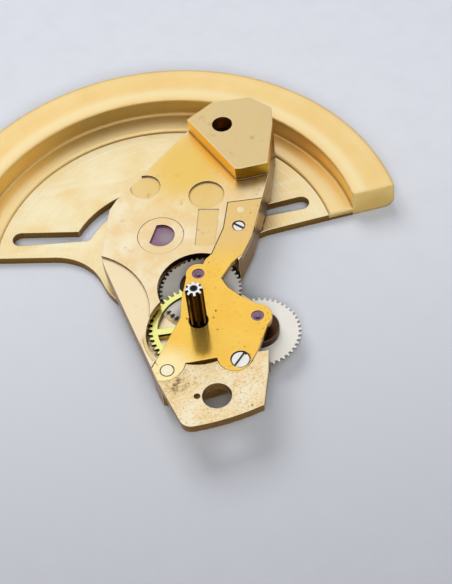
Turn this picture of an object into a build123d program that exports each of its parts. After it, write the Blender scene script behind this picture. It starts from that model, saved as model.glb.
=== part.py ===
from build123d import *
from math import acos, atan2, cos, degrees, hypot, radians, sin, tan
import os

# Automatic winding module of a wrist watch: a swinging rotor, the bridge that carries it, two
# reversing wheels and a reduction wheel with the long pinion that winds the movement.
# It lies rotor side down. The origin is the rotor axis on the rotor's outer face, +Z points
# to the movement side and +Y to the middle of the rotor's weight.

# Heights, from the rotor's outer face upwards
plate_thickness = 0.46
weight_height = 1.68
shelf_height = 0.55
lap_height = 0.24
hub_flange_thickness = 0.16
rotor_shake = 0.12
bridge_floor_thickness = 0.18
wheel_shake = 0.04
disc_thickness = 0.14
drum_height = 0.45
reduction_lift = 0.20
reduction_thickness = 0.18
cover_lift = 0.195
cover_thickness = 0.32
pad_height = 0.88
lobe_thickness = 0.50
winding_pinion_stand = 2.57

hub_top = plate_thickness + hub_flange_thickness
bridge_bottom = hub_top + rotor_shake
floor_top = bridge_bottom + bridge_floor_thickness
disc_bottom = floor_top + wheel_shake
disc_top = disc_bottom + disc_thickness
drum_top = disc_top + drum_height
reduction_bottom = drum_top + reduction_lift
reduction_top = reduction_bottom + reduction_thickness
cover_bottom = reduction_top + cover_lift
bridge_top = cover_bottom + cover_thickness
pad_top = bridge_top + pad_height
lobe_bottom = bridge_top - lobe_thickness
winding_pinion_top = bridge_top + winding_pinion_stand

# Rotor
rotor_radius = 12.5
weight_width = 2.25
shelf_width = 1.30
hub_disc_radius = 3.45
slot_ring_width = 0.80
slot_width = 0.85
slot_root_reach = 4.0
slot_root_height = 2.25
slot_root_radius = 0.33
slot_tip_reach = 7.45
slot_tip_height = 2.62
slot_tip_radius = 0.44
end_edge_height = 0.276
end_edge_tilt = 8.2
arm_fillet_radius = 2.9
weight_bevel = 0.35
plate_bevel = 0.08

weight_inner_radius = rotor_radius - weight_width
shelf_inner_radius = weight_inner_radius - shelf_width
slot_inner_radius = hub_disc_radius + slot_ring_width
slot_outer_radius = slot_inner_radius + slot_width

# Rotor hub, axle and pinion
hub_flange_radius = 2.3
hub_collar_radius = 1.1
rivet_radius = 0.22
rivet_circle_radius = 1.7
rivet_count = 3
axle_seat_radius = 0.40
axle_collar_radius = 0.62
axle_collar_height = 0.18
rotor_pinion_thickness = 0.40
journal_radius = 0.24
groove_radius = 0.16
clip_radius = 0.42
clip_thickness = 0.09
clip_mouth = 0.22
clip_shake = 0.04

# Wheel teeth: the reversing wheels mesh with the rotor pinion and with each other
train_module = 0.09
rotor_pinion_teeth = 27
reverser_teeth = 45
train_addendum_share = 0.70
train_dedendum_share = 0.95
reduction_module = 0.10
reverser_leaves = 9
reduction_teeth = 49
reduction_addendum_share = 0.85
reduction_dedendum_share = 1.15
wheel_root_share = 0.60
wheel_tip_share = 0.26
leaf_root_share = 0.44
leaf_tip_share = 0.22
winding_leaves = 8
winding_pinion_radius = 0.445
winding_root_radius = 0.29
winding_root_share = 0.62
winding_tip_share = 0.34
winding_pinion_bevel = 0.05

rotor_pinion_pitch = train_module * rotor_pinion_teeth / 2
reverser_pitch = train_module * reverser_teeth / 2
leaf_pitch = reduction_module * reverser_leaves / 2
reduction_pitch = reduction_module * reduction_teeth / 2
train_addendum = train_module * train_addendum_share
train_dedendum = train_module * train_dedendum_share
leaf_addendum = reduction_module * reduction_addendum_share
leaf_dedendum = reduction_module * reduction_dedendum_share
rotor_pinion_radius = rotor_pinion_pitch + train_addendum
reverser_radius = reverser_pitch + train_addendum
leaf_radius = leaf_pitch + leaf_addendum
reduction_radius = reduction_pitch + leaf_addendum

# Places of the wheel axes, seen from the movement side
reverser_a_angle = -58.96
reverser_b_angle = -49.3


def step_from(place, distance, angle):
    """The point at a distance from a place, in a direction given in degrees."""
    return (place[0] + distance * cos(radians(angle)), place[1] + distance * sin(radians(angle)))


def direction_of(start, end):
    """The direction from one place to another, in degrees."""
    return degrees(atan2(end[1] - start[1], end[0] - start[0]))


rotor_place = (0, 0)
reverser_a_distance = rotor_pinion_pitch + reverser_pitch
reverser_spacing = 2 * reverser_pitch
reverser_a_place = step_from(rotor_place, reverser_a_distance, reverser_a_angle)
reverser_b_place = step_from(reverser_a_place, reverser_spacing, reverser_b_angle)
reduction_distance = leaf_pitch + reduction_pitch
reduction_swing = degrees(acos(reverser_pitch / reduction_distance))
reduction_place = step_from(reverser_a_place, reduction_distance, reverser_b_angle - reduction_swing)

# Reversing wheels
reverser_bore_radius = 0.19
arbor_radius = 0.17
pivot_radius = 0.06
pivot_shake = 0.02
running_gap = 0.01
drum_radius = 1.02
drum_wall = 0.13
drum_lid = 0.12
click_circle_radius = 0.66
click_tip_distance = 0.53
click_tip_turn = 50.0
click_root_radius = 0.11
click_nose_radius = 0.05
click_pin_radius = 0.05
click_thickness = 0.24
click_shake = 0.03
ratchet_radius = 0.42
ratchet_root_radius = 0.33
ratchet_teeth = 9
ratchet_flank_share = 0.15
leaf_lift = 0.05
leaf_length = 0.45

# Reduction wheel and winding pinion
reduction_rim_width = 0.25
reduction_hub_radius = 0.62
spoke_width = 0.36
spoke_count = 4
spoke_angle = 180.4
winding_arbor_radius = 0.25
winding_pivot_radius = 0.09
cover_bore_gap = 0.05

# Jewels
jewel_radius = 0.32
jewel_sink = 0.05
jewel_height = 0.24
oil_sink_radius = 0.21
oil_sink_depth = 0.10
end_ruby_thickness = 0.22
rotor_ruby_thickness = 0.36
bush_radius = 1.20
bush_wall = 0.38
bush_seat = 0.12
bush_bevel = 0.04
window_thickness = 0.145
window_radius = 0.72
window_flat = 0.415
window_flat_angle = 157.0
axle_end_shake = 0.03

# Bridge, cut from one thick plate
bridge_reach = 11.78
pad_hole_radius = 0.54
lobe_hole_radius = 0.72
dowel_hole_radius = 0.16
dowel_hole_gap = 0.07
dowel_hole_turn = 173.0
pinion_room = 0.08
disc_room = 0.07
drum_room = 0.16
rim_room = 0.95
sight_opening_radius = 2.13
sight_opening_shift = 0.82
bush_surround = 0.22
roof_thickness = 0.39
side_window_left = 3.0
wheel_pocket_room = 0.12
pocket_mouth_radius = 2.79
pocket_mouth_shift_x = 0.136
pocket_mouth_shift_y = 0.596
pocket_ledge_depth = 0.72
pocket_ledge_left = 0.90
pocket_ledge_low = 2.06
pocket_rim_width = 0.17
pocket_rim_depth = 0.07
side_rebate_width = 0.30
side_rebate_height = 0.55
side_rebate_right = -0.60
side_rebate_top = -0.40
side_rebate_length = 7.80
arbor_well_radius = 0.50
floor_boss_radius = 1.25
balance_relief_radius = 3.94
balance_relief_reach = 6.51
balance_relief_angle = -137.96
balance_relief_depth = 0.12
round_recess_radius = 0.93
round_recess_distance = 3.48
round_recess_angle = 42.1
edge_recess_radius = 0.80
edge_recess_distance = 3.44
edge_recess_angle = 98.9
recess_depth = 0.10
slide_channel_length = 2.40
slide_channel_width = 1.05
slide_channel_distance = 2.40
slide_channel_angle = 4.0
slide_channel_turn = 80.0
slide_channel_depth = 0.04
pad_screw_head_radius = 1.0
pad_screw_head_depth = 0.55
outline_round = 0.30
foot_round = 0.60
top_bevel = 0.04

# Cover plate and what fastens it
cover_gap = 0.025
cover_bevel = 0.03
cover_a_round = 0.64
cover_b_round = 0.72
lobe_right_round = 0.88
lobe_left_round = 1.08
large_head_radius = 0.45
large_head_height = 0.20
large_shank_radius = 0.22
large_screw_length = 0.95
small_head_radius = 0.30
small_head_height = 0.15
small_shank_radius = 0.15
small_screw_length = 0.80
slot_width_share = 0.22
slot_depth_share = 0.65
head_room = 0.05
head_bevel = 0.03
screw_sink = 0.03
large_slot_angle = 52.0
small_slot_angle = 140.0
large_pin_radius = 0.315
large_pin_room = 0.045
large_pin_length = 0.95
small_pin_radius = 0.22
small_pin_length = 0.80
pin_stand = 0.02
small_screw_distance = 4.01
small_screw_angle = -0.3
small_pin_distance = 4.36
small_pin_angle = 13.4
arm_top = 1.62
arm_left_shift = 0.62
arm_waist_shift = 0.78

# How far the cuts run past the faces that they open, and what counts as the same place
overrun = 1.0
hair = 0.001

# Outline of the bridge, seen from the movement side, in shares of its reach: the side of the
# wheels from the foot to the pad, the round corners of the pad's end and of the open side, and
# the open side's way back to the foot
wheel_side_shares = [
    (0.323, -1.023), (0.378, -0.777), (0.3905, -0.676), (0.300, -0.560), (0.240, -0.420),
    (0.255, -0.270), (0.331, -0.177), (0.391, -0.065), (0.504, 0.273),
]
round_corner_shares = [
    (0.551, 0.498), (0.560, 0.600), (0.470, 0.680), (0.300, 0.680), (0.172, 0.590),
    (-0.178, 0.233), (-0.212, 0.180), (-0.264, -0.071), (-0.250, -0.140),
]
foot_side_shares = [(-0.072, -0.765), (0.021, -1.023)]
pad_hole_share = (0.3287, 0.5343)
lobe_hole_share = (0.1592, -0.8675)
pad_outline_shares = [
    (0.174, 0.594), (0.357, 0.262), (0.380, 0.259), (0.660, 0.292), (0.660, 0.800), (0.174, 0.800),
]

# Outline of the cover plate below its arm, in shares of the reverser spacing: along the line
# from reverser a to reverser b, and across it
cover_outline_shares = [
    (0.205, 0.589), (0.198, 0.399), (0.262, 0.136), (0.428, 0.084), (0.624, 0.088), (0.771, 0.111),
    (0.920, 0.150), (1.150, 0.050), (1.351, -0.374), (1.412, -0.575), (1.198, -0.604),
    (1.052, -0.759), (0.837, -1.043), (0.610, -1.232), (0.530, -1.294), (0.306, -0.635),
    (0.122, -0.431), (0.036, -0.305), (-0.080, -0.136), (0.000, 0.000), (-0.093, 0.220),
    (-0.092, 0.342),
]
left_of_cover_shares = [(0.306, -0.635), (0.754, -1.953), (0.000, -1.953), (0.000, -0.635)]
cover_shoulder_share = (0.205, 0.589)
cover_waist_share = (-0.092, 0.342)
right_lobe_share = (1.198, -0.604)
left_lobe_share = (0.610, -1.232)
large_screw_share = (1.279, -0.601)
large_pin_share = (0.726, -1.285)


def train_point(share):
    """A place given in shares along and across the line from reverser a to reverser b."""
    along = share[0] * reverser_spacing
    across = share[1] * reverser_spacing
    foot = step_from(reverser_a_place, along, reverser_b_angle)
    return step_from(foot, across, reverser_b_angle + 90)


def reach_point(share):
    """A place given in shares of the bridge's reach."""
    return (share[0] * bridge_reach, share[1] * bridge_reach)


large_screw_place = train_point(large_screw_share)
large_pin_place = train_point(large_pin_share)
small_screw_place = step_from(rotor_place, small_screw_distance, small_screw_angle)
small_pin_place = step_from(rotor_place, small_pin_distance, small_pin_angle)
pad_hole_place = reach_point(pad_hole_share)
lobe_hole_place = reach_point(lobe_hole_share)
sight_opening_place = (reverser_a_place[0], reverser_a_place[1] - sight_opening_shift)
pocket_mouth_place = (
    reduction_place[0] + pocket_mouth_shift_x, reduction_place[1] - pocket_mouth_shift_y,
)
roof_bottom = bridge_top - roof_thickness
rotor_pinion_bottom = hub_top + axle_collar_height
rotor_pinion_top = rotor_pinion_bottom + rotor_pinion_thickness
pinion_room_top = rotor_pinion_top + pinion_room
ruby_bottom = pinion_room_top + bush_seat
ruby_top = ruby_bottom + rotor_ruby_thickness
end_ruby_top = bridge_top - window_thickness
end_ruby_bottom = end_ruby_top - end_ruby_thickness
axle_top = end_ruby_bottom - axle_end_shake
clip_bottom = ruby_top + clip_shake
clip_top = clip_bottom + clip_thickness
bush_bore_radius = bush_radius - bush_wall
leaf_bottom = drum_top + leaf_lift
leaf_top = leaf_bottom + leaf_length
pocket_bottom = reduction_bottom - wheel_pocket_room
pocket_radius = reduction_radius + wheel_pocket_room
drum_bottom = disc_top
lid_bottom = drum_top - drum_lid
click_bottom = disc_top + click_shake
click_top = click_bottom + click_thickness
upper_jewel_top = bridge_top - jewel_sink
upper_jewel_bottom = upper_jewel_top - jewel_height


def pillar(radius, low, high, place=rotor_place):
    """A round bar that stands on a place, from one height to another."""
    bar = Cylinder(radius, high - low, align=(Align.CENTER, Align.CENTER, Align.MIN))
    return Pos(place[0], place[1], low) * bar


def collar(outer, inner, low, high, place=rotor_place):
    """A ring that stands on a place."""
    return pillar(outer, low, high, place) - pillar(inner, low - overrun, high + overrun, place)


def slab(face, low, high):
    """A flat face made into a plate between two heights."""
    return Pos(0, 0, low) * extrude(face, high - low)


def outline(points):
    """A flat face inside straight lines from point to point."""
    return make_face(Polyline(*points, close=True))


def disc_face(radius, place=rotor_place):
    """A flat round face."""
    return Pos(place[0], place[1]) * Circle(radius)


def bar_face(start, start_radius, end, end_radius):
    """A flat bar with round ends, whose sides touch both rounds."""
    length = hypot(end[0] - start[0], end[1] - start[1])
    along = direction_of(start, end)
    lean = degrees(acos((start_radius - end_radius) / length))
    sides = [
        step_from(start, start_radius, along + lean),
        step_from(start, start_radius, along - lean),
        step_from(end, end_radius, along - lean),
        step_from(end, end_radius, along + lean),
    ]
    return outline(sides) + disc_face(start_radius, start) + disc_face(end_radius, end)


def toothed_face(teeth, tip_radius, root_radius, root_share, tip_share, turn):
    """The flat outline of a toothed wheel about the origin, one tooth pointing at the turn."""
    pitch_angle = 360 / teeth
    points = []
    for tooth in range(teeth):
        middle = turn + tooth * pitch_angle
        for radius, offset in (
            (root_radius, -root_share / 2),
            (tip_radius, -tip_share / 2),
            (tip_radius, tip_share / 2),
            (root_radius, root_share / 2),
        ):
            points.append(step_from(rotor_place, radius, middle + offset * pitch_angle))
    return outline(points)


def meshing_turn(turn, teeth, towards, next_teeth):
    """The turn of the next wheel whose teeth fit between the teeth of a wheel with this turn."""
    passed = ((towards - turn) / (360 / teeth)) % 1
    return towards + 180 + (passed + 0.5) * 360 / next_teeth


def round_edges(solid, radius, height):
    """The round edges of one radius at one height."""
    rounds = solid.edges().filter_by(GeomType.CIRCLE)
    return [e for e in rounds if abs(e.radius - radius) < hair and abs(e.center().Z - height) < hair]


def edges_at(solid, height):
    """The edges that lie flat at one height."""
    low = height - hair
    high = height + hair
    return [e for e in solid.edges() if low < e.bounding_box().min.Z and e.bounding_box().max.Z < high]


# Rotor

def rotor_field():
    """Everything on the weight's side of the rotor's two end edges."""
    far = 2 * rotor_radius
    rise = far * tan(radians(end_edge_tilt))
    corner = end_edge_height + rise
    return outline([(0, end_edge_height), (far, corner), (far, far), (-far, far), (-far, corner)])


def rotor_slot():
    """The curved slot round the hub, with a finger into each lower arm."""
    arc = disc_face(slot_outer_radius) - disc_face(slot_inner_radius)
    below = Pos(0, slot_root_height) * Rectangle(
        2 * rotor_radius, rotor_radius, align=(Align.CENTER, Align.MAX)
    )
    slot = arc - below
    for side in (-1, 1):
        root = (side * slot_root_reach, slot_root_height)
        tip = (side * slot_tip_reach, slot_tip_height)
        slot += bar_face(root, slot_root_radius, tip, slot_tip_radius)
    return slot


def rotor_plate():
    """The thin web with the hub disc and the arms; its edge laps under the weight's shelf."""
    web = disc_face(shelf_inner_radius) & rotor_field()
    face = web + disc_face(hub_disc_radius)
    armpits = [v for v in face.vertices() if hypot(v.X, v.Y) < hub_disc_radius + hair]
    face = fillet(armpits, arm_fillet_radius)
    face -= rotor_slot()
    plate = slab(face, 0, plate_thickness)
    lap = (disc_face(weight_inner_radius) - disc_face(shelf_inner_radius - plate_bevel)) & rotor_field()
    plate += slab(lap, 0, lap_height)
    plate -= pillar(hub_collar_radius, -overrun, plate_thickness + overrun)
    for place in rivet_places():
        plate -= pillar(rivet_radius, -overrun, plate_thickness + overrun, place)
    return plate


def rotor_weight():
    """The heavy half ring, its outer edge bevelled on the table side, and its inner shelf."""
    rim = collar(rotor_radius, weight_inner_radius, 0, weight_height)
    rim = chamfer(round_edges(rim, rotor_radius, 0), weight_bevel)
    shelf = collar(weight_inner_radius, shelf_inner_radius, lap_height, shelf_height)
    field = slab(rotor_field(), -overrun, weight_height + overrun)
    return (rim + shelf) & field


def rivet_places():
    """The rivets stand evenly on a circle round the axle."""
    turns = [90 + 360 * rivet / rivet_count for rivet in range(rivet_count)]
    return [step_from(rotor_place, rivet_circle_radius, turn) for turn in turns]


def rotor_hub():
    """The flanged bush that carries the axle."""
    hub = pillar(hub_collar_radius, 0, plate_thickness)
    hub += pillar(hub_flange_radius, plate_thickness, hub_top)
    hub -= pillar(axle_seat_radius, -overrun, hub_top + overrun)
    for place in rivet_places():
        hub -= pillar(rivet_radius, -overrun, hub_top + overrun, place)
    return hub


def rotor_hub_rivets():
    """Flush rivets through the plate and the hub's flange."""
    return Compound([pillar(rivet_radius, 0, hub_top, place) for place in rivet_places()])


def rotor_axle():
    """The stepped arbor: seat in the hub, collar, pinion seat, journal and clip groove."""
    axle = pillar(axle_seat_radius, 0, rotor_pinion_top)
    axle += pillar(axle_collar_radius, hub_top, rotor_pinion_bottom)
    axle += pillar(journal_radius, rotor_pinion_top, axle_top)
    return axle - collar(journal_radius + overrun, groove_radius, clip_bottom, clip_top)


def rotor_pinion():
    """The toothed wheel on the axle that drives reverser a."""
    root = rotor_pinion_pitch - train_dedendum
    face = toothed_face(
        rotor_pinion_teeth, rotor_pinion_radius, root, wheel_root_share, wheel_tip_share, 0
    )
    return slab(face - disc_face(axle_seat_radius), rotor_pinion_bottom, rotor_pinion_top)


def axle_clip():
    """The open spring clip in the axle's groove, above the ruby."""
    mouth = Rectangle(clip_radius, clip_mouth, align=(Align.MIN, Align.CENTER))
    face = disc_face(clip_radius) - disc_face(groove_radius) - mouth
    return slab(face, clip_bottom, clip_top)


# Bridge

def bridge_face():
    """The bridge's outline, its foot cut to an arc about the rotor axis, one foot corner round."""
    corners = wheel_side_shares + round_corner_shares + foot_side_shares
    face = outline([reach_point(share) for share in corners])
    picked = [reach_point(share) for share in round_corner_shares]
    soft = [v for v in face.vertices() if any(hypot(v.X - x, v.Y - y) < hair for x, y in picked)]
    face = fillet(soft, outline_round) & disc_face(bridge_reach)
    foot = face.vertices().filter_by(lambda v: hypot(v.X, v.Y) > bridge_reach - hair)
    return fillet(foot.sort_by(Axis.X)[0], foot_round)


def bearing_floor_face():
    """The thin floor under the wheels, between the three lower jewels."""
    places = (reverser_a_place, reverser_b_place, reduction_place)
    face = bar_face(places[0], floor_boss_radius, places[1], floor_boss_radius)
    face += bar_face(places[1], floor_boss_radius, places[2], floor_boss_radius)
    return face + bar_face(places[2], floor_boss_radius, places[0], floor_boss_radius)


def arm_face():
    """The upper arm of the cover plate, along the bridge's right edge."""
    low = reach_point(wheel_side_shares[-2])
    high = reach_point(wheel_side_shares[-1])
    climb = (arm_top - low[1]) / (high[1] - low[1])
    top_right = (low[0] + climb * (high[0] - low[0]), arm_top)
    top_left = (small_pin_place[0] - arm_left_shift, arm_top)
    waist_left = (small_screw_place[0] - arm_waist_shift, small_screw_place[1])
    shoulder = train_point(cover_shoulder_share)
    waist = train_point(cover_waist_share)
    return outline([shoulder, low, top_right, top_left, waist_left, waist, reverser_a_place])


def cover_face():
    """The cover plate's outline: a body with rounds about its jewels and screws, and the arm."""
    face = outline([train_point(share) for share in cover_outline_shares])
    face += disc_face(cover_a_round, reverser_a_place)
    face += disc_face(cover_b_round, reverser_b_place)
    face += disc_face(lobe_right_round, train_point(right_lobe_share))
    left_lobe = disc_face(lobe_left_round, train_point(left_lobe_share)) & bridge_face()
    left_lobe -= outline([train_point(share) for share in left_of_cover_shares])
    return face + left_lobe + arm_face()


def reverser_a_room():
    """The room of reverser a, under the bridge's upper face but open to the cover and the right."""
    room = disc_face(reverser_radius + disc_room, reverser_a_place)
    above = room - disc_face(bush_radius + bush_surround)
    cuts = slab(room, floor_top, pinion_room_top) + slab(above, floor_top, roof_bottom)
    cuts += slab(above & offset(cover_face(), cover_gap), floor_top, cover_bottom + hair)
    right = Rectangle(bridge_reach, bridge_reach, align=(Align.MIN, Align.CENTER))
    right = Pos(side_window_left, reverser_a_place[1]) * right
    return cuts + slab(room & right, floor_top, pad_top + overrun)


def pocket_mouth():
    """The wheel pocket's mouth: the bridge's upper face reaches over the wheel at the far side."""
    pocket = disc_face(pocket_radius, reduction_place)
    mouth = disc_face(pocket_mouth_radius, pocket_mouth_place)
    left = Rectangle(2 * pocket_radius, pocket_ledge_low, align=(Align.MAX, Align.MAX))
    left = Pos(reduction_place[0] - pocket_ledge_left, reduction_place[1]) * left
    high = pad_top + overrun
    cuts = slab(pocket & mouth, roof_bottom, high)
    cuts += slab(mouth & left, bridge_top - pocket_ledge_depth, high)
    rim = disc_face(pocket_mouth_radius + pocket_rim_width, pocket_mouth_place) & left
    return cuts + slab(rim, bridge_top - pocket_rim_depth, high)


def side_rebate():
    """The rebate under the bridge's left edge, which keeps it clear of the rotor's arm."""
    face = bridge_face()
    edge = face - offset(face, -side_rebate_width)
    left = Rectangle(bridge_reach, side_rebate_length, align=(Align.MAX, Align.MAX))
    edge = edge & Pos(side_rebate_right, side_rebate_top) * left
    return slab(edge, bridge_bottom - overrun, bridge_bottom + side_rebate_height)


def wheel_rooms():
    """The hollows that the wheels need in the bridge, above its floor."""
    open_top = pad_top + overrun
    room = reverser_radius + disc_room
    cuts = reverser_a_room()
    cuts += pillar(room, floor_top, open_top, reverser_b_place)
    cuts += pillar(sight_opening_radius, floor_top, open_top, sight_opening_place)
    cuts += pillar(drum_radius + drum_room, floor_top, open_top, reverser_a_place)
    cuts += pillar(pocket_radius, pocket_bottom, roof_bottom, reduction_place) + pocket_mouth()
    return cuts + pillar(arbor_well_radius, floor_top, roof_bottom, reduction_place)


def rotor_bearing_room():
    """The stepped hole for the rotor pinion, the ruby and the bush."""
    cuts = pillar(rotor_pinion_radius + pinion_room, bridge_bottom - overrun, pinion_room_top)
    cuts += pillar(bush_bore_radius - bush_seat, bridge_bottom, ruby_bottom + hair)
    return cuts + pillar(bush_radius, ruby_bottom, pad_top + overrun)


def surface_recesses():
    """The shallow milled recesses in the bridge's upper face."""
    high = pad_top + overrun
    low = bridge_top - recess_depth
    relief_place = step_from(rotor_place, balance_relief_reach, balance_relief_angle)
    round_place = step_from(rotor_place, round_recess_distance, round_recess_angle)
    edge_place = step_from(rotor_place, edge_recess_distance, edge_recess_angle)
    channel_place = step_from(rotor_place, slide_channel_distance, slide_channel_angle)
    cuts = pillar(balance_relief_radius, bridge_top - balance_relief_depth, high, relief_place)
    cuts += pillar(round_recess_radius, low, high, round_place)
    cuts += pillar(edge_recess_radius, low, high, edge_place)
    channel = Pos(*channel_place) * Rot(0, 0, slide_channel_turn) * Rectangle(
        slide_channel_length, slide_channel_width
    )
    return cuts + slab(channel, bridge_top - slide_channel_depth, high)


def fastening_holes():
    """The screw holes of the pad and the lobe, the dowel hole, and the cover plate's own holes."""
    low = bridge_bottom - overrun
    high = pad_top + overrun
    dowel_distance = lobe_hole_radius + dowel_hole_radius + dowel_hole_gap
    dowel_place = step_from(lobe_hole_place, dowel_distance, dowel_hole_turn)
    cuts = pillar(pad_hole_radius, low, high, pad_hole_place)
    cuts += pillar(pad_screw_head_radius, low, bridge_bottom + pad_screw_head_depth, pad_hole_place)
    cuts += pillar(lobe_hole_radius, low, high, lobe_hole_place)
    cuts += pillar(dowel_hole_radius, low, high, dowel_place)
    for place, radius, length in (
        (large_pin_place, large_pin_radius, large_pin_length - pin_stand),
        (small_pin_place, small_pin_radius, small_pin_length - pin_stand),
        (large_screw_place, large_shank_radius, large_screw_length + screw_sink),
        (small_screw_place, small_shank_radius, small_screw_length + screw_sink),
    ):
        cuts += pillar(radius, bridge_top - length, high, place)
    return cuts


def auto_bridge():
    """The bridge: a thick plate with a raised pad and a thin lobe, hollowed out for the wheels."""
    face = bridge_face()
    bridge = slab(face, bridge_bottom, bridge_top)
    bridge += slab(face & outline([reach_point(s) for s in pad_outline_shares]), bridge_bottom, pad_top)
    bridge = chamfer(edges_at(bridge, pad_top), top_bevel)
    rim_reach = weight_inner_radius - rim_room
    bridge -= collar(2 * bridge_reach, rim_reach, bridge_bottom - overrun, lobe_bottom)
    bridge -= wheel_rooms()
    bridge -= side_rebate()
    bridge -= surface_recesses()
    bridge += slab(bearing_floor_face(), bridge_bottom, floor_top)
    bridge -= rotor_bearing_room()
    cover_room = offset(cover_face(), cover_gap)
    bridge -= slab(cover_room, cover_bottom, bridge_top + overrun)
    for place in (reverser_a_place, reverser_b_place, reduction_place):
        bridge -= pillar(jewel_radius, bridge_bottom - overrun, floor_top + overrun, place)
    return bridge - fastening_holes()


def bearing_bush():
    """The bush over the rotor bearing, with the D-shaped window in its top."""
    bush = pillar(bush_radius, ruby_bottom, bridge_top)
    bush = chamfer(round_edges(bush, bush_radius, bridge_top), bush_bevel)
    bush -= pillar(bush_bore_radius, ruby_bottom - overrun, end_ruby_top)
    window = disc_face(window_radius)
    flat_place = step_from(rotor_place, window_flat, window_flat_angle)
    beyond = Rectangle(2 * window_radius, 4 * window_radius, align=(Align.MIN, Align.CENTER))
    window -= Pos(*flat_place) * Rot(0, 0, window_flat_angle) * beyond
    return bush - slab(window, end_ruby_top - hair, bridge_top + overrun)


def rotor_ruby():
    """The ruby ring in which the rotor axle turns."""
    return collar(bush_bore_radius, journal_radius + running_gap, ruby_bottom, ruby_top)


def rotor_end_ruby():
    """The ruby that closes the bearing and shows in the window."""
    return pillar(bush_bore_radius, end_ruby_bottom, end_ruby_top)


def jewel(place, low, high, bore_radius, sink_side):
    """A round jewel with its hole and, on one side, its oil sink."""
    stone = collar(jewel_radius, bore_radius, low, high, place)
    sink = Cone(bore_radius, oil_sink_radius, oil_sink_depth, align=(Align.CENTER, Align.CENTER, Align.MAX))
    if sink_side > 0:
        return stone - Pos(place[0], place[1], high) * sink
    return stone - Pos(place[0], place[1], low) * Rot(180, 0, 0) * sink


# Cover plate and its fastenings

def cover_plate():
    """The thin plate that holds the upper pivots of the wheels."""
    plate = slab(cover_face(), cover_bottom, bridge_top)
    plate = chamfer(edges_at(plate, bridge_top), cover_bevel)
    low = cover_bottom - overrun
    high = bridge_top + overrun
    for place in (reverser_a_place, reverser_b_place):
        plate -= pillar(jewel_radius, low, high, place)
    plate -= pillar(winding_pinion_radius + cover_bore_gap, low, high, reduction_place)
    plate -= pillar(large_pin_radius + large_pin_room, low, high, large_pin_place)
    plate -= pillar(small_pin_radius, low, high, small_pin_place)
    for place, head_radius, head_height, shank_radius in (
        (large_screw_place, large_head_radius, large_head_height, large_shank_radius),
        (small_screw_place, small_head_radius, small_head_height, small_shank_radius),
    ):
        plate -= pillar(shank_radius + running_gap, low, high, place)
        plate -= pillar(head_radius + head_room, bridge_top - screw_sink - head_height, high, place)
    return plate


def slotted_screw(place, head_radius, head_height, shank_radius, length, slot_angle):
    """A flat slotted screw, sunk a little below the plate's face."""
    head_top = bridge_top - screw_sink
    head_bottom = head_top - head_height
    head = pillar(head_radius, head_bottom, head_top)
    head = chamfer(round_edges(head, head_radius, head_top), head_bevel)
    slot = Rot(0, 0, slot_angle) * Rectangle(3 * head_radius, 2 * head_radius * slot_width_share)
    head -= slab(slot, head_top - head_height * slot_depth_share, head_top + overrun)
    screw = head + pillar(shank_radius, head_top - length, head_bottom)
    return Pos(place[0], place[1]) * screw


def cover_screw_large():
    """The screw beside reverser b."""
    return slotted_screw(
        large_screw_place, large_head_radius, large_head_height,
        large_shank_radius, large_screw_length, large_slot_angle,
    )


def cover_screw_small():
    """The screw on the upper arm."""
    return slotted_screw(
        small_screw_place, small_head_radius, small_head_height,
        small_shank_radius, small_screw_length, small_slot_angle,
    )


def steady_pin(place, radius, length):
    """A pin pressed into the bridge that sets the cover plate's place."""
    top = bridge_top + pin_stand
    pin = pillar(radius, top - length, top, place)
    return chamfer(round_edges(pin, radius, top), pin_stand)


# Reversing wheels

def reverser_wheel(place, turn):
    """The thin toothed disc that runs free on its arbor."""
    root = reverser_pitch - train_dedendum
    face = toothed_face(reverser_teeth, reverser_radius, root, wheel_root_share, wheel_tip_share, turn)
    return Pos(*place) * slab(face - disc_face(reverser_bore_radius), disc_bottom, disc_top)


def click_places(turn):
    """The two click pivots stand across from each other in the case."""
    return [step_from(rotor_place, click_circle_radius, turn + 180 * click) for click in range(2)]


def reverser_drum(place, turn):
    """The round click case fixed on the disc, with the pins of its clicks."""
    drum = pillar(drum_radius, drum_bottom, drum_top)
    drum = chamfer(round_edges(drum, drum_radius, drum_top), top_bevel)
    drum -= pillar(drum_radius - drum_wall, drum_bottom - overrun, lid_bottom)
    drum -= pillar(reverser_bore_radius, drum_bottom, drum_top + overrun)
    for pivot in click_places(turn):
        drum += pillar(click_pin_radius, drum_bottom, lid_bottom, pivot)
    return Pos(*place) * drum


def reverser_clicks(place, turn):
    """The two click levers, whose noses lie against the ratchet."""
    levers = []
    for click, pivot in enumerate(click_places(turn)):
        tip = step_from(rotor_place, click_tip_distance, turn + 180 * click + click_tip_turn)
        face = bar_face(pivot, click_root_radius, tip, click_nose_radius)
        face -= disc_face(click_pin_radius + running_gap, pivot)
        levers.append(Pos(*place) * slab(face, click_bottom, click_top))
    return Compound(levers)


def reverser_ratchet(place):
    """The saw-toothed wheel fixed on the arbor inside the case."""
    pitch_angle = 360 / ratchet_teeth
    points = []
    for tooth in range(ratchet_teeth):
        points.append(step_from(rotor_place, ratchet_radius, tooth * pitch_angle))
        root_turn = (tooth + ratchet_flank_share) * pitch_angle
        points.append(step_from(rotor_place, ratchet_root_radius, root_turn))
    return Pos(*place) * slab(outline(points) - disc_face(arbor_radius), click_bottom, click_top)


def reverser_pinion(place, turn):
    """The arbor with its two pivots and the leaves that drive the reduction wheel."""
    root = leaf_pitch - leaf_dedendum
    leaves = toothed_face(reverser_leaves, leaf_radius, root, leaf_root_share, leaf_tip_share, turn)
    arbor = pillar(pivot_radius, bridge_bottom + pivot_shake, floor_top + pivot_shake)
    arbor += pillar(arbor_radius, floor_top + pivot_shake, leaf_bottom)
    arbor += slab(leaves, leaf_bottom, leaf_top)
    arbor += pillar(pivot_radius, leaf_top, upper_jewel_top - pivot_shake)
    return Pos(*place) * arbor


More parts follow.
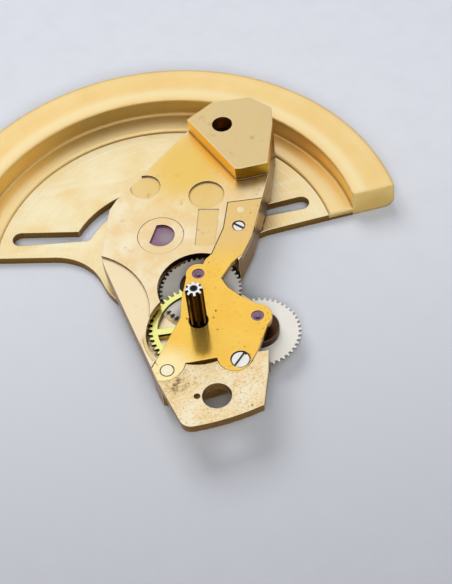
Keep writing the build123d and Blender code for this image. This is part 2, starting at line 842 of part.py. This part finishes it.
# Reduction wheel and winding pinion

def reduction_wheel(turn):
    """The spoked brass wheel that both reverser pinions drive."""
    root = reduction_pitch - leaf_dedendum
    rim = root - reduction_rim_width
    face = toothed_face(reduction_teeth, reduction_radius, root, wheel_root_share, wheel_tip_share, turn)
    windows = disc_face(rim) - disc_face(reduction_hub_radius)
    for spoke in range(spoke_count):
        turned = Rot(0, 0, spoke_angle + 360 * spoke / spoke_count)
        windows -= turned * Rectangle(rim + hair, spoke_width, align=(Align.MIN, Align.CENTER))
    face = face - windows - disc_face(winding_arbor_radius)
    return Pos(*reduction_place) * slab(face, reduction_bottom, reduction_top)


def winding_pinion():
    """The long pinion that stands out of the cover plate and winds the movement."""
    face = toothed_face(
        winding_leaves, winding_pinion_radius, winding_root_radius,
        winding_root_share, winding_tip_share, 0,
    )
    leaves = slab(face, reduction_top, winding_pinion_top)
    envelope = pillar(winding_pinion_radius, reduction_top, winding_pinion_top)
    envelope = chamfer(
        round_edges(envelope, winding_pinion_radius, winding_pinion_top), winding_pinion_bevel
    )
    pinion = leaves & envelope
    pinion += pillar(winding_arbor_radius, floor_top + pivot_shake, reduction_top)
    pinion += pillar(winding_pivot_radius, bridge_bottom + pivot_shake, floor_top + pivot_shake)
    return Pos(*reduction_place) * pinion


# Turns that bring the teeth into mesh, from the rotor pinion onwards
turn_a = meshing_turn(
    0, rotor_pinion_teeth, direction_of(rotor_place, reverser_a_place), reverser_teeth
)
turn_b = meshing_turn(
    turn_a, reverser_teeth, direction_of(reverser_a_place, reverser_b_place), reverser_teeth
)
leaf_turn_a = 0
reduction_turn = meshing_turn(
    leaf_turn_a, reverser_leaves, direction_of(reverser_a_place, reduction_place), reduction_teeth
)
leaf_turn_b = meshing_turn(
    reduction_turn, reduction_teeth, direction_of(reduction_place, reverser_b_place), reverser_leaves
)

pieces = {
    "rotor_plate": rotor_plate(),
    "rotor_weight": rotor_weight(),
    "rotor_hub": rotor_hub(),
    "rotor_hub_rivets": rotor_hub_rivets(),
    "rotor_axle": rotor_axle(),
    "rotor_pinion": rotor_pinion(),
    "axle_clip": axle_clip(),
    "auto_bridge": auto_bridge(),
    "bearing_bush": bearing_bush(),
    "rotor_ruby": rotor_ruby(),
    "rotor_end_ruby": rotor_end_ruby(),
    "ruby_reduction_lower": jewel(
        reduction_place, bridge_bottom, floor_top, winding_pivot_radius + running_gap, -1
    ),
    "cover_plate": cover_plate(),
    "cover_screw_large": cover_screw_large(),
    "cover_screw_small": cover_screw_small(),
    "steady_pin_large": steady_pin(large_pin_place, large_pin_radius, large_pin_length),
    "steady_pin_small": steady_pin(small_pin_place, small_pin_radius, small_pin_length),
    "reduction_wheel": reduction_wheel(reduction_turn),
    "winding_pinion": winding_pinion(),
}
for letter, place, wheel_turn, leaf_turn in (
    ("a", reverser_a_place, turn_a, leaf_turn_a),
    ("b", reverser_b_place, turn_b, leaf_turn_b),
):
    bore = pivot_radius + running_gap
    pieces[f"ruby_reverser_{letter}_lower"] = jewel(place, bridge_bottom, floor_top, bore, -1)
    pieces[f"ruby_reverser_{letter}_upper"] = jewel(place, upper_jewel_bottom, upper_jewel_top, bore, 1)
    pieces[f"reverser_{letter}_wheel"] = reverser_wheel(place, wheel_turn)
    pieces[f"reverser_{letter}_drum"] = reverser_drum(place, wheel_turn)
    pieces[f"reverser_{letter}_clicks"] = reverser_clicks(place, wheel_turn)
    pieces[f"reverser_{letter}_ratchet"] = reverser_ratchet(place)
    pieces[f"reverser_{letter}_pinion"] = reverser_pinion(place, leaf_turn)

os.makedirs("parts", exist_ok=True)
for name, piece in pieces.items():
    export_step(piece, f"parts/{name}.step")
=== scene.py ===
import math

import bpy
from mathutils import Matrix, Vector

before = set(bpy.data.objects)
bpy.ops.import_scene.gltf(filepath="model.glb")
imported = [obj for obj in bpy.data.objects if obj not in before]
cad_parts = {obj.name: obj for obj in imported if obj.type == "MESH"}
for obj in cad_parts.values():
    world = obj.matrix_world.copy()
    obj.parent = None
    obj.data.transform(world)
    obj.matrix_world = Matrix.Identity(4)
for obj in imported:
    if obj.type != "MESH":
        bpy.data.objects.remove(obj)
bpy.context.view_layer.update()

# Sizes, places and pattern scales are in millimetres of the CAD frame, and angles in degrees,
# where nothing else is said. Blender works in metres.
MM = 0.001

# Upright axes of the rotor and of the reduction wheel, which their turning marks go round
rotor_axis = (0.0, 0.0)
reduction_axis = (1.4173, -5.6650)

# Places that the finishes change about: the foot of the pad, round which a painted reflection
# deepens the gold; a painted glint where the end of the rotor axle shows through its jewel; the
# cover's end with the large pin; and the stain on the lobe
pad_foot = (1.8, 4.4)
axle_glint = (0.25, -0.10)
pin_lobe = (-0.36, -8.40)
lobe_stain = (0.02, -9.30)

# Heights between which one finish of the bridge fades into the next: down into its shallow
# recesses, down to the relief along its left edge, up onto the pad's walls, whose bright orange
# is a painted reflection, and onto its top
recess_heights = (2.43, 2.40)
relief_heights = (2.34, 2.33)
pad_wall_heights = (2.46, 2.50)
pad_top_heights = (3.28, 3.32)

# Camera: the photographer stands in front of the part and looks down on it
camera_place = (2.941, -55.501, 69.027)
camera_drop = 52.298
camera_roll = -7.469
picture_width = 452            # pixels
focal_pixels = 1700
centre_rise_pixels = -2
sensor_width = 36.0
nearest_seen = 5
farthest_seen = 10000

# Tent: directions from the part, each with the cosines at which its patch starts and is full
photographer_side = (0.08, -0.62, 0.78)
photographer_patch = (0.70, 0.92)
dim_side = (1.0, 0.3, 0.3)
dim_patch = (0.3, 1.0)
mirrored_strength = 1.0
spread_strength = 0.16

# Where the tent takes a ray for a second reflection, and for one that has left no matt face:
# at the world, the ray depth is one more than the bounces so far, and the diffuse depth isn't
second_reflection = (2.4, 2.6)
no_matt_face = (0.6, 0.4)

# Soft boxes, each aimed at the part: name, place and side in metres, and power in watts
soft_boxes = (
    ("soft box behind", (-0.03, 0.09, 0.13), 0.10, 0.128),
    ("soft box over the photographer", (0.006, -0.122, 0.132), 0.08, 0.20),
)

# Sheet under the part: its half side, and how far it lies below the part so that no face flickers
sheet_half = 1500
sheet_drop = 0.003

# Where walls, painted edge highlights and painted corner shade start and are full: two cosines and
# an openness
wall_range = (0.75, 0.35)
edge_highlight_range = (0.995, 0.85)
corner_shade_range = (0.80, 0.40)

# Nearly all values of a noise pattern lie between these two
noise_low = 0.3
noise_high = 0.7


# ---- Nodes and patterns ----

def linear(code):
    """Turns an sRGB hex colour into the linear colour that a shader takes."""
    parts = [int(code[i:i + 2], 16) / 255 for i in (0, 2, 4)]
    return [c / 12.92 if c <= 0.04045 else ((c + 0.055) / 1.055) ** 2.4 for c in parts] + [1.0]


def add_node(tree, kind, settings=None, inputs=None):
    """Adds a node with its settings, and sets each input or links it to another node's socket."""
    node = tree.nodes.new(kind)
    for name, value in (settings or {}).items():
        setattr(node, name, value)
    for key, value in (inputs or {}).items():
        if isinstance(value, bpy.types.NodeSocket):
            tree.links.new(value, node.inputs[key])
        else:
            node.inputs[key].default_value = value
    return node


def above(tree, pattern, start, full):
    """The part of a pattern over a threshold, from 0 at start to 1 at full."""
    cut = add_node(tree, "ShaderNodeMapRange", {"interpolation_type": "SMOOTHSTEP"},
                   {"Value": pattern, "From Min": start, "From Max": full})
    return cut.outputs["Result"]


def product(tree, first, second):
    """Where two patterns are both full, or a share of one pattern."""
    return add_node(tree, "ShaderNodeMath", {"operation": "MULTIPLY"},
                    {0: first, 1: second}).outputs[0]


def larger(tree, first, second):
    """The larger of two values."""
    return add_node(tree, "ShaderNodeMath", {"operation": "MAXIMUM"},
                    {0: first, 1: second}).outputs[0]


def span(tree, pattern, low, high):
    """A noise pattern spread over a range of values."""
    spread = add_node(tree, "ShaderNodeMapRange", inputs={
        "Value": pattern, "From Min": noise_low, "From Max": noise_high,
        "To Min": low, "To Max": high})
    return spread.outputs["Result"]


def blend_colour(tree, factor, first, second):
    """Goes from the first colour to the second by a factor; each is a hex colour or a socket."""
    first = linear(first) if isinstance(first, str) else first
    second = linear(second) if isinstance(second, str) else second
    # The colour sockets go by number, because the number sockets before them have their names
    mixed = add_node(tree, "ShaderNodeMix", {"data_type": "RGBA"},
                     {"Factor": factor, 6: first, 7: second})
    return mixed.outputs[2]


def per_metre(size):
    """The scale at which a pattern's features are this many millimetres across."""
    return 1 / (size * MM)


def distance_from(tree, centre):
    """The distance from an upright axis, in metres."""
    where = add_node(tree, "ShaderNodeTexCoord")
    flat = add_node(tree, "ShaderNodeMapping", {"vector_type": "POINT"}, {
        "Vector": where.outputs["Object"], "Location": (-centre[0] * MM, -centre[1] * MM, 0),
        "Scale": (1, 1, 0)})
    radius = add_node(tree, "ShaderNodeVectorMath", {"operation": "LENGTH"},
                      {0: flat.outputs["Vector"]})
    return radius.outputs["Value"]


def around(tree, centre, start, full):
    """Fades from 0 to 1 between two distances from an upright axis."""
    return above(tree, distance_from(tree, centre), start * MM, full * MM)


def beyond(tree, axis, start, full):
    """Fades from 0 to 1 between two places along X, Y or Z."""
    where = add_node(tree, "ShaderNodeTexCoord")
    split = add_node(tree, "ShaderNodeSeparateXYZ", inputs={"Vector": where.outputs["Object"]})
    return above(tree, split.outputs[axis], start * MM, full * MM)


# Real turning marks and strokes are about 0.02 mm apart, and frosting is finer still. A pixel of
# the picture is 0.05 mm, so the finishes draw such marks as coarse as they need to show.

def turning_marks(tree, centre, spacing):
    """Rings about a wheel's axis, as a lathe tool leaves them; 0 to 1."""
    rings = add_node(tree, "ShaderNodeTexNoise", {"noise_dimensions": "1D"}, {
        "W": distance_from(tree, centre), "Scale": per_metre(spacing), "Detail": 1.0})
    return rings.outputs["Fac"]


def brush_marks(tree, angle, width, length):
    """Straight strokes of a brush or stone, in the direction of the angle; 0 to 1."""
    where = add_node(tree, "ShaderNodeTexCoord")
    turned = add_node(tree, "ShaderNodeMapping", {"vector_type": "POINT"}, {
        "Vector": where.outputs["Object"], "Rotation": (0, 0, -math.radians(angle))})
    drawn = add_node(tree, "ShaderNodeMapping", {"vector_type": "POINT"}, {
        "Vector": turned.outputs["Vector"],
        "Scale": (per_metre(length), per_metre(width), per_metre(width))})
    strokes = add_node(tree, "ShaderNodeTexNoise", inputs={
        "Vector": drawn.outputs["Vector"], "Scale": 1.0, "Detail": 4.0, "Roughness": 0.65})
    return strokes.outputs["Fac"]


def grit(tree, size, detail=3.0):
    """An even mottle of one size, as blasting or casting leaves it; 0 to 1."""
    where = add_node(tree, "ShaderNodeTexCoord")
    mottle = add_node(tree, "ShaderNodeTexNoise", inputs={
        "Vector": where.outputs["Object"], "Scale": per_metre(size), "Detail": detail,
        "Roughness": 0.6})
    return mottle.outputs["Fac"]


def rounded_normal(tree, width):
    """The surface with its sharp edges broken over a width."""
    edge = add_node(tree, "ShaderNodeBevel", {"samples": 6}, {"Radius": width * MM})
    return edge.outputs["Normal"]


def painted_edge_highlights(tree, width):
    """1 along the sharp edges and 0 on the flats: where the finishes paint a highlight."""
    surface = add_node(tree, "ShaderNodeNewGeometry")
    turn = add_node(tree, "ShaderNodeVectorMath", {"operation": "DOT_PRODUCT"}, {
        0: rounded_normal(tree, width), 1: surface.outputs["Normal"]})
    return above(tree, turn.outputs["Value"], *edge_highlight_range)


def walls(tree):
    """1 on the upright walls and 0 on the level faces: where the finishes paint the walls' shade
    and reflections.
    """
    surface = add_node(tree, "ShaderNodeNewGeometry")
    split = add_node(tree, "ShaderNodeSeparateXYZ", inputs={
        "Vector": surface.outputs["True Normal"]})
    level = add_node(tree, "ShaderNodeMath", {"operation": "ABSOLUTE"}, {0: split.outputs["Z"]})
    return above(tree, level.outputs[0], *wall_range)


def painted_corner_shade(tree, reach):
    """1 deep in the piece's own inner angles and 0 in the open: where the finishes paint shade."""
    shelter = add_node(tree, "ShaderNodeAmbientOcclusion", {"samples": 6, "only_local": True},
                       {"Distance": reach * MM})
    return above(tree, shelter.outputs["AO"], *corner_shade_range)


# ---- Studio ----

def make_camera():
    """Sets the camera up as the photograph's: its place, its aim and its roll."""
    drop = math.radians(camera_drop)
    roll = math.radians(camera_roll)
    away = Vector((0, math.cos(drop), -math.sin(drop)))
    level = Vector((1, 0, 0))
    rise = Vector((0, math.sin(drop), math.cos(drop)))
    right = math.cos(roll) * level + math.sin(roll) * rise
    up = -math.sin(roll) * level + math.cos(roll) * rise
    data = bpy.data.cameras.new("camera")
    data.sensor_fit = "HORIZONTAL"
    data.sensor_width = sensor_width
    data.lens = sensor_width * focal_pixels / picture_width
    data.shift_y = centre_rise_pixels / picture_width
    data.clip_start = nearest_seen * MM
    data.clip_end = farthest_seen * MM
    camera = bpy.data.objects.new("camera", data)
    turn = Matrix((right, up, -away)).transposed().to_4x4()
    camera.matrix_world = Matrix.Translation(Vector(camera_place) * MM) @ turn
    bpy.context.collection.objects.link(camera)
    bpy.context.scene.camera = camera


def add_lamp(name, place, side, power):
    """Adds a square soft box that gives the floor its shadow and that no mirror or view shows."""
    data = bpy.data.lights.new(name, "AREA")
    data.shape = "SQUARE"
    data.size = side
    data.energy = power
    lamp = bpy.data.objects.new(name, data)
    lamp.location = place
    lamp.rotation_mode = "QUATERNION"
    lamp.rotation_quaternion = (-Vector(place)).to_track_quat("-Z", "Y")
    lamp.visible_camera = False
    lamp.visible_glossy = False
    bpy.context.collection.objects.link(lamp)


def tent_patch(tree, direction, cosines):
    """1 in a soft patch of the tent, centred in one direction, and 0 round it."""
    where = add_node(tree, "ShaderNodeTexCoord")
    toward = add_node(tree, "ShaderNodeVectorMath", {"operation": "DOT_PRODUCT"}, {
        0: where.outputs["Generated"], 1: Vector(direction).normalized()})
    return above(tree, toward.outputs["Value"], *cosines)


def light_studio():
    """A pale tent all round and two soft boxes; second reflections find the photographer dark."""
    world = bpy.data.worlds.new("pale tent")
    world.use_nodes = True
    tree = world.node_tree
    tree.nodes.clear()
    ray = add_node(tree, "ShaderNodeLightPath")
    again = above(tree, ray.outputs["Ray Depth"], *second_reflection)
    photographer = product(tree, again, tent_patch(tree, photographer_side, photographer_patch))
    tone = blend_colour(tree, tent_patch(tree, dim_side, dim_patch), "FDFDFE", "DCDEE3")
    tone = blend_colour(tree, photographer, tone, "24211E")
    shown = add_node(tree, "ShaderNodeBackground", inputs={
        "Color": tone, "Strength": mirrored_strength})
    spread = add_node(tree, "ShaderNodeBackground", inputs={
        "Color": tone, "Strength": spread_strength})
    # The camera, metals and jewels find the tent bright. Matt faces find it dim, as does light
    # that has left one, so that the soft boxes give them their light and shadow.
    seen = larger(tree, ray.outputs["Is Camera Ray"], ray.outputs["Is Glossy Ray"])
    seen = larger(tree, seen, ray.outputs["Is Transmission Ray"])
    direct = above(tree, ray.outputs["Diffuse Depth"], *no_matt_face)
    glow = add_node(tree, "ShaderNodeMixShader", inputs={
        0: product(tree, seen, direct), 1: spread.outputs[0], 2: shown.outputs[0]})
    add_node(tree, "ShaderNodeOutputWorld", inputs={"Surface": glow.outputs[0]})
    bpy.context.scene.world = world
    for name, place, side, power in soft_boxes:
        add_lamp(name, place, side, power)


def make_floor():
    """Lays the matt pale sheet under the part."""
    half = sheet_half * MM
    low = -sheet_drop * MM
    mesh = bpy.data.meshes.new("floor")
    outline = [(-half, -half, low), (half, -half, low), (half, half, low), (-half, half, low)]
    mesh.from_pydata(outline, [], [(0, 1, 2, 3)])
    floor = bpy.data.objects.new("floor", mesh)
    bpy.context.collection.objects.link(floor)
    mesh.materials.append(matt_sheet())


# ---- Finishes ----

def start_material(name):
    """An empty material and its tree."""
    material = bpy.data.materials.new(name)
    material.use_nodes = True
    material.node_tree.nodes.clear()
    return material, material.node_tree


def finish_metal(tree, colour, roughness, relief, depth, edge, metallic=1.0):
    """Joins a metal's colour, gloss and relief, with its edges broken.

    Where a face scatters light as well as mirroring it, metallic is less than 1.
    """
    bump = add_node(tree, "ShaderNodeBump", inputs={
        "Height": relief, "Distance": depth * MM, "Normal": rounded_normal(tree, edge)})
    surface = add_node(tree, "ShaderNodeBsdfPrincipled", inputs={
        "Base Color": colour, "Metallic": metallic, "Roughness": roughness,
        "Normal": bump.outputs["Normal"]})
    add_node(tree, "ShaderNodeOutputMaterial", inputs={"Surface": surface.outputs[0]})


def matt_sheet():
    """Matt laminated board: cool and nearly white, with painted shade greyer in front and a
    painted brown shadow deep under the part.

    Far off it fades into the tent, so that a low view shows no hard horizon.
    """
    material, tree = start_material("matt laminated board")
    # Painted shade: the sheet greyer toward the front
    front = beyond(tree, "Y", start=12, full=-34)
    tone = blend_colour(tree, front, "E3E6EE", "ABADB3")
    grain = product(tree, above(tree, grit(tree, 1.5), 0.3, 0.9), 0.2)
    tone = blend_colour(tree, grain, tone, "CACDD5")
    # Painted shadow: brown where the part shelters the sheet
    shelter = add_node(tree, "ShaderNodeAmbientOcclusion", {"samples": 8}, {"Distance": 2.5 * MM})
    painted_shadow_under_part = above(tree, shelter.outputs["AO"], 0.55, 0.10)
    tone = blend_colour(tree, painted_shadow_under_part, tone, "8A7C62")
    surface = add_node(tree, "ShaderNodeBsdfPrincipled", inputs={
        "Base Color": tone, "Roughness": 0.55})
    tent = add_node(tree, "ShaderNodeBsdfTransparent")
    far = around(tree, rotor_axis, start=36, full=130)
    sheet = add_node(tree, "ShaderNodeMixShader", inputs={
        0: far, 1: surface.outputs[0], 2: tent.outputs[0]})
    add_node(tree, "ShaderNodeOutputMaterial", inputs={"Surface": sheet.outputs[0]})
    return material


def turned_gilt_rim():
    """Gilt heavy alloy, turned and satin: it glows softly, with rings of tone and walls in a
    painted golden reflection.
    """
    material, tree = start_material("turned gilt heavy alloy")
    bands = turning_marks(tree, rotor_axis, spacing=1.4)
    rings = turning_marks(tree, rotor_axis, spacing=0.35)
    colour = blend_colour(tree, grit(tree, 3.0, detail=4.0), "F2C97A", "FEE2A2")
    colour = blend_colour(tree, above(tree, bands, 0.42, 0.98), colour, "FFEFC0")
    # Painted reflection: the walls a brighter, deeper gold
    side = blend_colour(tree, grit(tree, 0.9, detail=4.0), "FFCE6A", "FFE496")
    colour = blend_colour(tree, walls(tree), colour, side)
    # Painted highlight along the sharp edges
    colour = blend_colour(tree, painted_edge_highlights(tree, width=0.06), colour, "FFF0C8")
    # Painted shade in the inner corners
    colour = blend_colour(tree, painted_corner_shade(tree, reach=0.30), colour, "D8A85C")
    finish_metal(tree, colour, roughness=span(tree, bands, 0.26, 0.36), relief=rings,
                 depth=0.0012, edge=0.30, metallic=0.80)
    return material


def circular_satin_gilt():
    """Gilt brass with a fine circular grain: creamy faces, and thin edges painted a brown shade.
    """
    material, tree = start_material("circular satin gilt brass")
    rings = turning_marks(tree, rotor_axis, spacing=0.16)
    smear = brush_marks(tree, angle=8, width=1.0, length=6.0)
    clouds = above(tree, grit(tree, 2.6, detail=4.0), 0.30, 0.75)
    colour = blend_colour(tree, clouds, "F8DDA0", "FFF1C8")
    colour = blend_colour(tree, above(tree, smear, 0.52, 0.90), colour, "FFFADC")
    colour = blend_colour(tree, above(tree, rings, 0.60, 0.95), colour, "FFF4D2")
    # Painted shade: the walls brown
    colour = blend_colour(tree, walls(tree), colour, "96702F")
    # Painted highlight along the sharp edges
    colour = blend_colour(tree, painted_edge_highlights(tree, width=0.05), colour, "FFF6DA")
    # Painted shade in the inner corners
    colour = blend_colour(tree, painted_corner_shade(tree, reach=0.12), colour, "7A5A28")
    finish_metal(tree, colour, roughness=span(tree, rings, 0.27, 0.36), relief=rings,
                 depth=0.0004, edge=0.05)
    return material


def frosted_gilt():
    """Frosted gilt brass: creamy and smudged, with a painted reflection of deeper gold by the pad,
    pitted on the lobe.
    """
    material, tree = start_material("frosted gilt brass")
    strokes = brush_marks(tree, angle=58, width=0.7, length=4.0)
    scuffs = brush_marks(tree, angle=64, width=0.25, length=1.4)
    clouds = above(tree, grit(tree, 1.8, detail=5.0), 0.35, 0.65)
    colour = blend_colour(tree, clouds, "F8DAA2", "FFF2D0")
    colour = blend_colour(tree, above(tree, strokes, 0.45, 0.85), colour, "FADCA6")
    colour = blend_colour(tree, above(tree, scuffs, 0.58, 0.80), colour, "FFF6E2")
    # Painted reflection of the pad: deeper gold round its foot
    colour = blend_colour(tree, around(tree, pad_foot, start=4.2, full=0.8), colour, "F7D072")
    sunk = product(tree, beyond(tree, "Z", *recess_heights), 0.7)
    colour = blend_colour(tree, sunk, colour, "EFCD82")
    relief = product(tree, beyond(tree, "Z", *relief_heights), 0.8)
    colour = blend_colour(tree, relief, colour, "FFEDC8")
    colour = blend_colour(tree, beyond(tree, "Z", *pad_top_heights), colour, "E6CB93")
    spots = above(tree, grit(tree, 0.9, detail=5.0), 0.60, 0.80)
    colour = blend_colour(tree, spots, colour, "CFA068")
    colour = pit_lobe(tree, colour)
    # Walls: painted brown shade, and on the pad's walls a painted bright orange reflection
    side = blend_colour(tree, grit(tree, 0.35), "7E5A2A", "B08446")
    side = blend_colour(tree, beyond(tree, "Z", *pad_wall_heights), side, "FFCA40")
    colour = blend_colour(tree, walls(tree), colour, side)
    # Painted highlight along the sharp edges
    colour = blend_colour(tree, painted_edge_highlights(tree, width=0.06), colour, "FFF2CE")
    # Painted shade in the inner corners
    colour = blend_colour(tree, painted_corner_shade(tree, reach=0.25), colour, "5A3E1C")
    finish_metal(tree, colour, roughness=span(tree, strokes, 0.28, 0.40),
                 relief=grit(tree, 0.12), depth=0.003, edge=0.05)
    return material


def pit_lobe(tree, colour):
    """The lobe's cast skin: a fine light and dark mottle, with brown pits in clusters."""
    lobe = beyond(tree, "Y", start=-7.6, full=-8.8)
    fine = grit(tree, 0.10, detail=5.0)
    cluster = above(tree, grit(tree, 1.0), 0.46, 0.62)
    stain = product(tree, around(tree, lobe_stain, start=0.75, full=0.10),
                    above(tree, grit(tree, 0.35, detail=5.0), 0.42, 0.60))
    light = product(tree, lobe, above(tree, fine, 0.48, 0.30))
    colour = blend_colour(tree, light, colour, "FFF3CE")
    dark = product(tree, lobe, above(tree, fine, 0.50, 0.78))
    colour = blend_colour(tree, dark, colour, "CFA766")
    pits = product(tree, product(tree, lobe, cluster),
                   above(tree, grit(tree, 0.16, detail=5.0), 0.58, 0.70))
    colour = blend_colour(tree, stain, colour, "7A5A34")
    return blend_colour(tree, pits, colour, "6E4E28")


def smooth_gold_plate():
    """Smooth gold plating: a clear warm yellow that mirrors, paler at both ends."""
    material, tree = start_material("smooth gold plating")
    strokes = brush_marks(tree, angle=80, width=0.12, length=1.6)
    specks = above(tree, grit(tree, 0.15, detail=4.0), 0.635, 0.71)
    colour = blend_colour(tree, grit(tree, 1.8), "F6BE44", "FFD565")
    colour = blend_colour(tree, beyond(tree, "Y", start=-2.8, full=-0.4), colour, "EBC780")
    colour = blend_colour(tree, around(tree, pin_lobe, start=1.9, full=0.5), colour, "FFEBAE")
    colour = blend_colour(tree, specks, colour, "8E6428")
    # Painted shade: the walls a darker brown gold
    colour = blend_colour(tree, walls(tree), colour, "B07C22")
    # Painted highlight along the sharp edges
    colour = blend_colour(tree, painted_edge_highlights(tree, width=0.04), colour, "FFEBB0")
    finish_metal(tree, colour, roughness=span(tree, strokes, 0.12, 0.18), relief=strokes,
                 depth=0.0004, edge=0.04, metallic=0.75)
    return material


def lemon_brass():
    """Bare brass with a circular grain: a greenish lemon yellow, with painted olive shade between
    the teeth.
    """
    material, tree = start_material("circular grained brass")
    rings = turning_marks(tree, reduction_axis, spacing=0.12)
    colour = blend_colour(tree, grit(tree, 0.8), "F4F28C", "FFFFA6")
    # Painted shade: the walls and tooth flanks olive
    colour = blend_colour(tree, walls(tree), colour, "6E6A26")
    # Painted highlight along the sharp edges
    colour = blend_colour(tree, painted_edge_highlights(tree, width=0.03), colour, "FFFCD0")
    finish_metal(tree, colour, roughness=span(tree, rings, 0.20, 0.34), relief=rings,
                 depth=0.001, edge=0.03)
    return material


def pale_brass():
    """Pale polished brass: a creamy pin end with a few fine marks."""
    material, tree = start_material("pale polished brass")
    marks = brush_marks(tree, angle=20, width=0.06, length=0.5)
    colour = blend_colour(tree, grit(tree, 0.4), "FBEFC0", "FFF9DC")
    finish_metal(tree, colour, roughness=span(tree, marks, 0.14, 0.28), relief=marks,
                 depth=0.001, edge=0.04)
    return material


def frosted_nickel():
    """Frosted nickel plating: nearly white and matt, as it scatters far more than it mirrors."""
    material, tree = start_material("frosted nickel plating")
    frost = grit(tree, 0.09)
    colour = blend_colour(tree, grit(tree, 0.9), "E8E4DA", "F3EFE6")
    # Painted shade on the walls
    colour = blend_colour(tree, walls(tree), colour, "8C8880")
    # Painted highlight along the sharp edges
    colour = blend_colour(tree, painted_edge_highlights(tree, width=0.03), colour, "FFFEFA")
    finish_metal(tree, colour, roughness=span(tree, frost, 0.45, 0.55), relief=frost,
                 depth=0.001, edge=0.03, metallic=0.15)
    return material


def brown_bronze():
    """Browned bronze: a dark chocolate case with a painted highlight along its rims."""
    material, tree = start_material("browned bronze")
    clouds = grit(tree, 0.5)
    colour = blend_colour(tree, clouds, "33231A", "5A4030")
    # Painted highlight along the rims' sharp edges
    colour = blend_colour(tree, painted_edge_highlights(tree, width=0.05), colour, "A08468")
    finish_metal(tree, colour, roughness=span(tree, grit(tree, 0.08), 0.25, 0.40),
                 relief=clouds, depth=0.001, edge=0.04)
    return material


def polished_steel():
    """Hardened steel, polished flat: bright, with hair scratches, and a slot darkened by painted
    shade.
    """
    material, tree = start_material("polished hardened steel")
    hairs = above(tree, brush_marks(tree, angle=35, width=0.03, length=1.2), 0.62, 0.72)
    clouds = grit(tree, 0.5)
    colour = blend_colour(tree, clouds, "E6E5E2", "F8F8F7")
    colour = blend_colour(tree, hairs, colour, "B4B2AE")
    # Painted shade: the walls dark, so the slot shows dark
    colour = blend_colour(tree, walls(tree), colour, "4E4A44")
    # Painted shade deep in the slot and inner corners
    colour = blend_colour(tree, painted_corner_shade(tree, reach=0.12), colour, "1C1A18")
    finish_metal(tree, colour, roughness=span(tree, clouds, 0.10, 0.20), relief=hairs,
                 depth=0.0004, edge=0.02)
    return material


def dark_steel():
    """Polished steel leaves: flanks painted nearly black as shade, leaf ends bright round a dark
    centre.
    """
    material, tree = start_material("polished dark steel")
    marks = brush_marks(tree, angle=0, width=0.05, length=0.2)
    leaf_ends = around(tree, reduction_axis, start=0.15, full=0.24)
    colour = blend_colour(tree, leaf_ends, "262626", "F2F5F4")
    # Painted highlight along the sharp edges
    colour = blend_colour(tree, painted_edge_highlights(tree, width=0.03), colour, "C8C6BC")
    # Painted shade: the leaf flanks a dark brown
    flank = blend_colour(tree, grit(tree, 0.4), "4C3A20", "745832")
    colour = blend_colour(tree, walls(tree), colour, flank)
    finish_metal(tree, colour, roughness=span(tree, marks, 0.10, 0.18), relief=marks,
                 depth=0.0006, edge=0.03)
    return material


def arbor_steel():
    """Burnished arbor steel: a middle grey, so that a pivot is only a dim dot in its jewel."""
    material, tree = start_material("burnished arbor steel")
    grain = grit(tree, 0.08)
    colour = blend_colour(tree, grain, "6E6A72", "928E96")
    # Painted highlight along the sharp edges
    colour = blend_colour(tree, painted_edge_highlights(tree, width=0.02), colour, "B0ACB2")
    finish_metal(tree, colour, roughness=span(tree, grain, 0.16, 0.26), relief=grain,
                 depth=0.0005, edge=0.02)
    return material


def ruby():
    """Synthetic ruby, polished: mauve to deep purple, with a painted glint where the rotor axle
    shows through.
    """
    material, tree = start_material("synthetic ruby")
    clouds = grit(tree, 0.4)
    colour = blend_colour(tree, clouds, "7C466C", "9E6C90")
    # Painted glint: paler round the rotor axle's end
    colour = blend_colour(tree, around(tree, axle_glint, start=0.62, full=0.10), colour, "A08C98")
    surface = add_node(tree, "ShaderNodeBsdfPrincipled", inputs={
        "Base Color": colour, "Roughness": span(tree, clouds, 0.03, 0.08), "IOR": 1.76,
        "Transmission Weight": 0.25, "Normal": rounded_normal(tree, 0.03)})
    add_node(tree, "ShaderNodeOutputMaterial", inputs={"Surface": surface.outputs[0]})
    return material


# ---- The dressed part ----

# Each finish and the nodes that have it
finishes = (
    (turned_gilt_rim, ("rotor_weight",)),
    (circular_satin_gilt, ("rotor_plate", "rotor_hub")),
    (frosted_gilt, ("auto_bridge", "bearing_bush", "steady_pin_small")),
    (smooth_gold_plate, ("cover_plate",)),
    (lemon_brass, ("reduction_wheel", "rotor_hub_rivets")),
    (pale_brass, ("steady_pin_large",)),
    (frosted_nickel, ("reverser_a_wheel", "reverser_b_wheel")),
    (brown_bronze, ("reverser_a_drum", "reverser_b_drum")),
    (polished_steel, (
        "rotor_axle", "rotor_pinion", "axle_clip", "cover_screw_large", "cover_screw_small",
        "reverser_a_clicks", "reverser_b_clicks", "reverser_a_ratchet", "reverser_b_ratchet")),
    (dark_steel, ("winding_pinion",)),
    (arbor_steel, ("reverser_a_pinion", "reverser_b_pinion")),
    (ruby, (
        "rotor_ruby", "rotor_end_ruby", "ruby_reverser_a_lower", "ruby_reverser_b_lower",
        "ruby_reduction_lower", "ruby_reverser_a_upper", "ruby_reverser_b_upper")),
)


def dress_nodes():
    """Gives each solid of the CAD model the finish of the real piece."""
    for make_finish, names in finishes:
        material = make_finish()
        for name in names:
            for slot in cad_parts[name].material_slots:
                slot.material = material


bpy.context.scene.view_settings.view_transform = "Standard"
make_camera()
light_studio()
make_floor()
dress_nodes()
